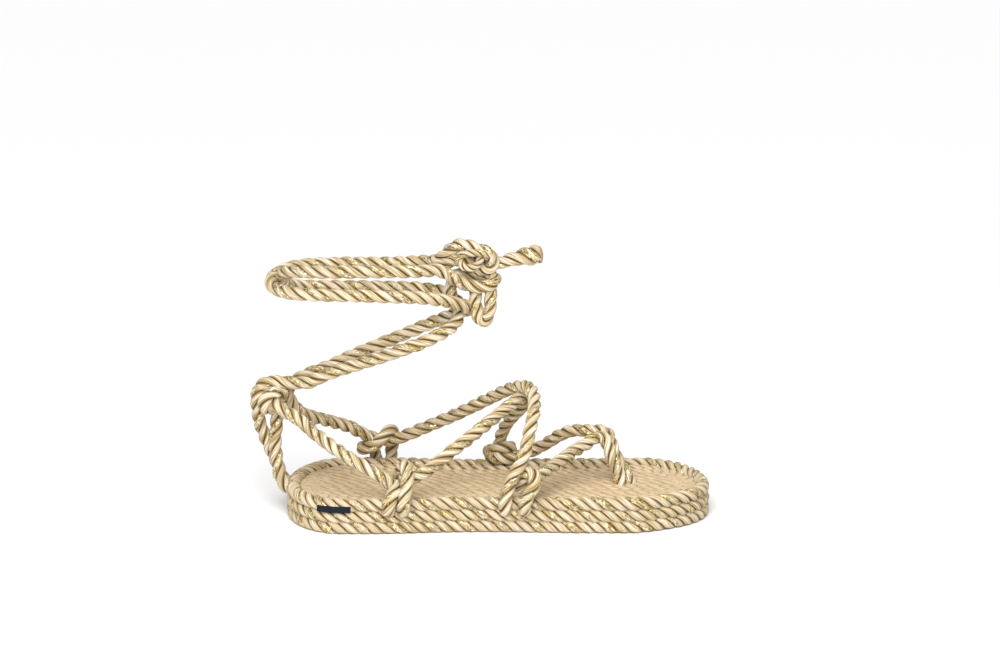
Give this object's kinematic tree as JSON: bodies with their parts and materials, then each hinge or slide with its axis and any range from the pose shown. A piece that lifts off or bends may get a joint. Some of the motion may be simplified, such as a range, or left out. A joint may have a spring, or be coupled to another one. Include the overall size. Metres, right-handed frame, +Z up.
{
  "type": "rope sandal",
  "caption": "Flat thong sandal of laid rope, with a stacked rope sole, crossed instep straps, heel straps and a doubled ankle tie knotted at the front.",
  "frame": {"origin": "middle of the outsole's flat underside, on the floor", "axes": "+X to the toe, +Y to the wearer's inner side, +Z up from the floor"},
  "size_m": [0.2821, 0.1166, 0.1729],
  "materials": {
    "strap_rope": "silky laid rope, cream and sand, a few gold threads",
    "edge_rope": "silky laid rope in stacked rows",
    "footbed_rope": "matt pressed rope rows, tan",
    "tab": "plain black woven tape"
  },
  "bodies": {
    "root": {"outsole": "edge_rope", "midsole": "edge_rope", "rim_rope": "edge_rope", "footbed": "footbed_rope", "upper": "strap_rope", "ankle_strap": "strap_rope", "ankle_knot": "strap_rope", "knot_loop": "strap_rope", "tie_end": "strap_rope", "label_tab": "tab"}
  },
  "joints": []
}
